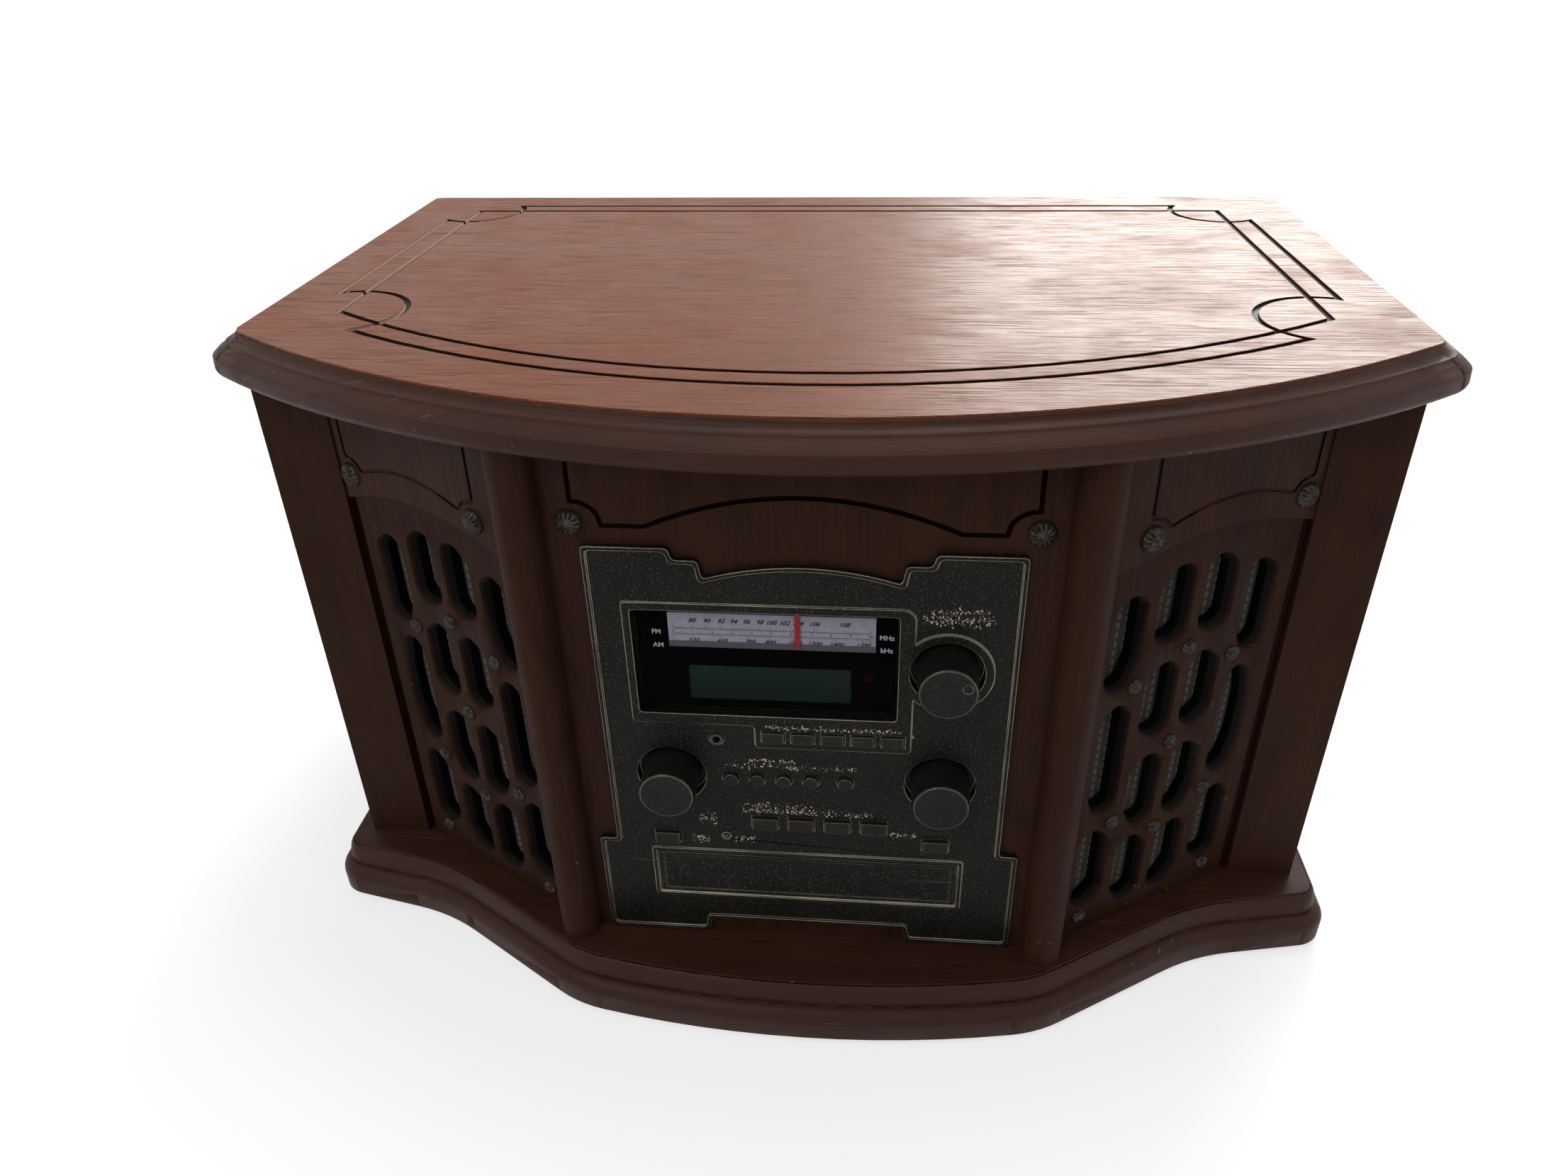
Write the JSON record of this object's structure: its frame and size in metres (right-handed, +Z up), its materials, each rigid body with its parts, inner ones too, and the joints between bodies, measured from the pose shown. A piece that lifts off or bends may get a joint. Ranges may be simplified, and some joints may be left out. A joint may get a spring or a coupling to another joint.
{
  "type": "music center",
  "caption": "Bow-fronted tabletop music center with a hinged lid over a record deck, slotted speaker grilles, a control fascia with knobs and buttons, and a sliding disc drawer.",
  "frame": {"origin": "on the floor, under the middle of the base", "axes": "+X to the right seen from the front, +Y to the back, +Z up"},
  "size_m": [0.54, 0.362, 0.322],
  "materials": {
    "case_wood": "brown stained wood, satin lacquer, upright grain",
    "front_wood": "brown stained wood, satin lacquer",
    "lid_wood": "reddish-brown stained wood, fine open grain, satin lacquer",
    "moulding_wood": "dark reddish-brown stained wood, satin lacquer",
    "batten_wood": "plain unfinished wood",
    "rear_board": "dark brown hardboard",
    "foot_rubber": "black rubber",
    "grille_cloth": "black cloth with a dashed beige thread",
    "pewter": "antique pewter",
    "speaker_metal": "black basket and paper cone",
    "fitting_metal": "plated steel",
    "fascia_plastic": "gunmetal hammered paint, pewter rims",
    "button_plastic": "gunmetal plastic",
    "knob_plastic": "gunmetal plastic with a fluted pewter edge",
    "window_gloss": "smoked gloss window",
    "dial_print": "pale printed dial",
    "pointer_red": "red",
    "display_dark": "dark display carrier",
    "electronics": "circuit boards and their components",
    "socket_plastic": "black plastic",
    "tray_plastic": "black plastic",
    "mechanism_steel": "zinc-coated sheet and black plastic",
    "deck_plastic": "black moulded plastic",
    "platter_metal": "cast and turned",
    "mat_rubber": "ribbed black rubber",
    "arm_metal": "satin",
    "pulley_brass": "turned"
  },
  "bodies": {
    "cabinet": {"side_panels": "case_wood", "front_posts": "front_wood", "front_board": "front_wood", "grille_panels": "front_wood", "base_moulding": "moulding_wood", "base_board": "moulding_wood", "deck_rails": "batten_wood", "speaker_baffles": "batten_wood", "rear_panel": "rear_board", "foot_pads": "foot_rubber", "grille_cloths": "grille_cloth", "rosette_studs": "pewter", "speakers": "speaker_metal", "cabinet_fittings": "fitting_metal", "screws": "fitting_metal", "fascia": "fascia_plastic", "dial_window": "window_gloss", "dial_scale": "dial_print", "display_panel": "display_dark", "electronics": "electronics", "sockets_and_lamps": "socket_plastic", "cd_mechanism": "mechanism_steel", "turntable_motor": "mechanism_steel", "deck_plate": "deck_plastic", "tonearm_base": "deck_plastic", "drive_belt": "mat_rubber"},
    "lid": {"lid_panel": "lid_wood", "lid_moulding": "moulding_wood", "lid_frame": "moulding_wood", "lid_fittings": "fitting_metal"},
    "stay": {"lid_stay_arm": "fitting_metal"},
    "tuner_pointer": {"dial_pointer": "pointer_red"},
    "tuning": {"tuning_knob": "knob_plastic"},
    "volume": {"volume_knob": "knob_plastic"},
    "level": {"level_knob": "knob_plastic"},
    "drawer": {"cd_tray": "tray_plastic", "cd_tray_front": "fascia_plastic"},
    "turntable": {"platter": "platter_metal", "platter_mat": "mat_rubber"},
    "pulley": {"motor_pulley": "pulley_brass"},
    "arm_pivot": {"tonearm_pivot": "arm_metal"},
    "arm": {"tonearm": "arm_metal"},
    "cue": {"cue_lever": "arm_metal"},
    "selector": {"speed_selector": "deck_plastic"},
    "source_button_1_cap": {"source_button_1": "button_plastic"},
    "source_button_2_cap": {"source_button_2": "button_plastic"},
    "source_button_3_cap": {"source_button_3": "button_plastic"},
    "source_button_4_cap": {"source_button_4": "button_plastic"},
    "source_button_5_cap": {"source_button_5": "button_plastic"},
    "transport_button_1_cap": {"transport_button_1": "button_plastic"},
    "transport_button_2_cap": {"transport_button_2": "button_plastic"},
    "transport_button_3_cap": {"transport_button_3": "button_plastic"},
    "transport_button_4_cap": {"transport_button_4": "button_plastic"},
    "transport_button_5_cap": {"transport_button_5": "button_plastic"},
    "edit_button_1_cap": {"edit_button_1": "button_plastic"},
    "edit_button_2_cap": {"edit_button_2": "button_plastic"},
    "edit_button_3_cap": {"edit_button_3": "button_plastic"},
    "edit_button_4_cap": {"edit_button_4": "button_plastic"},
    "power_button_cap": {"power_button": "button_plastic"},
    "open_button_cap": {"open_button": "button_plastic"}
  },
  "joints": [
    {"name": "lid_hinge", "type": "hinge", "parent": "cabinet", "child": "lid", "pos_m": [0, 0.1775, 0.303], "axis": [-1, 0, 0], "range_deg": [0, 75]},
    {"name": "stay_pivot", "type": "hinge", "parent": "lid", "child": "stay", "pos_m": [0.225, 0.08755, 0.306], "axis": [-1, 0, 0], "range_deg": [-37.6, 0.1]},
    {"name": "tuning_turn", "type": "hinge", "parent": "cabinet", "child": "tuning", "pos_m": [0.0615, -0.1375, 0.1975], "axis": [0, 1, 0], "range_deg": [-290, 170]},
    {"name": "pointer_slide", "type": "slide", "parent": "cabinet", "child": "tuner_pointer", "axis": [1, 0, 0], "range_m": [-0.0515, 0.03]},
    {"name": "volume_turn", "type": "hinge", "parent": "cabinet", "child": "volume", "pos_m": [-0.0615, -0.1375, 0.135], "axis": [0, 1, 0], "range_deg": [-150, 150]},
    {"name": "level_turn", "type": "hinge", "parent": "cabinet", "child": "level", "pos_m": [0.0615, -0.1375, 0.135], "axis": [0, 1, 0], "range_deg": [-150, 150]},
    {"name": "drawer_slide", "type": "slide", "parent": "cabinet", "child": "drawer", "axis": [0, -1, 0], "range_m": [0, 0.135]},
    {"name": "platter_spin", "type": "hinge", "parent": "cabinet", "child": "turntable", "pos_m": [-0.045, 0.0199, 0.24], "axis": [0, 0, 1], "continuous": true},
    {"name": "pulley_spin", "type": "hinge", "parent": "cabinet", "child": "pulley", "pos_m": [-0.105, 0.0799, 0.24], "axis": [0, 0, 1], "continuous": true},
    {"name": "arm_swing", "type": "hinge", "parent": "cabinet", "child": "arm_pivot", "pos_m": [0.128, 0.1078, 0.25], "axis": [0, 0, -1], "range_deg": [0, 40]},
    {"name": "arm_lift", "type": "hinge", "parent": "arm_pivot", "child": "arm", "pos_m": [0.128, 0.1078, 0.266], "axis": [-1, 0, 0], "range_deg": [0, 8]},
    {"name": "cue_turn", "type": "hinge", "parent": "cabinet", "child": "cue", "pos_m": [0.16, 0.1078, 0.25], "axis": [-1, 0, 0], "range_deg": [0, 50]},
    {"name": "selector_turn", "type": "hinge", "parent": "cabinet", "child": "selector", "pos_m": [0.168, -0.0401, 0.24], "axis": [0, 0, 1], "range_deg": [-35, 35]},
    {"name": "source_button_1_press", "type": "slide", "parent": "cabinet", "child": "source_button_1_cap", "axis": [0, 1, 0], "range_m": [0, 0.0012], "stiffness_N_per_m": 200},
    {"name": "source_button_2_press", "type": "slide", "parent": "cabinet", "child": "source_button_2_cap", "axis": [0, 1, 0], "range_m": [0, 0.0012], "stiffness_N_per_m": 200},
    {"name": "source_button_3_press", "type": "slide", "parent": "cabinet", "child": "source_button_3_cap", "axis": [0, 1, 0], "range_m": [0, 0.0012], "stiffness_N_per_m": 200},
    {"name": "source_button_4_press", "type": "slide", "parent": "cabinet", "child": "source_button_4_cap", "axis": [0, 1, 0], "range_m": [0, 0.0012], "stiffness_N_per_m": 200},
    {"name": "source_button_5_press", "type": "slide", "parent": "cabinet", "child": "source_button_5_cap", "axis": [0, 1, 0], "range_m": [0, 0.0012], "stiffness_N_per_m": 200},
    {"name": "transport_button_1_press", "type": "slide", "parent": "cabinet", "child": "transport_button_1_cap", "axis": [0, 1, 0], "range_m": [0, 0.0012], "stiffness_N_per_m": 200},
    {"name": "transport_button_2_press", "type": "slide", "parent": "cabinet", "child": "transport_button_2_cap", "axis": [0, 1, 0], "range_m": [0, 0.0012], "stiffness_N_per_m": 200},
    {"name": "transport_button_3_press", "type": "slide", "parent": "cabinet", "child": "transport_button_3_cap", "axis": [0, 1, 0], "range_m": [0, 0.0012], "stiffness_N_per_m": 200},
    {"name": "transport_button_4_press", "type": "slide", "parent": "cabinet", "child": "transport_button_4_cap", "axis": [0, 1, 0], "range_m": [0, 0.0012], "stiffness_N_per_m": 200},
    {"name": "transport_button_5_press", "type": "slide", "parent": "cabinet", "child": "transport_button_5_cap", "axis": [0, 1, 0], "range_m": [0, 0.0012], "stiffness_N_per_m": 200},
    {"name": "edit_button_1_press", "type": "slide", "parent": "cabinet", "child": "edit_button_1_cap", "axis": [0, 1, 0], "range_m": [0, 0.0012], "stiffness_N_per_m": 200},
    {"name": "edit_button_2_press", "type": "slide", "parent": "cabinet", "child": "edit_button_2_cap", "axis": [0, 1, 0], "range_m": [0, 0.0012], "stiffness_N_per_m": 200},
    {"name": "edit_button_3_press", "type": "slide", "parent": "cabinet", "child": "edit_button_3_cap", "axis": [0, 1, 0], "range_m": [0, 0.0012], "stiffness_N_per_m": 200},
    {"name": "edit_button_4_press", "type": "slide", "parent": "cabinet", "child": "edit_button_4_cap", "axis": [0, 1, 0], "range_m": [0, 0.0012], "stiffness_N_per_m": 200},
    {"name": "power_button_press", "type": "slide", "parent": "cabinet", "child": "power_button_cap", "axis": [0, 1, 0], "range_m": [0, 0.0012], "stiffness_N_per_m": 200},
    {"name": "open_button_press", "type": "slide", "parent": "cabinet", "child": "open_button_cap", "axis": [0, 1, 0], "range_m": [0, 0.0012], "stiffness_N_per_m": 200}
  ],
  "couplings": [
    {"joint": "stay_pivot", "follows": "lid_hinge", "ratio": -0.5},
    {"joint": "pointer_slide", "follows": "tuning_turn", "m_per_rad": 0.01},
    {"joint": "pulley_spin", "follows": "platter_spin", "ratio": 12.4}
  ]
}
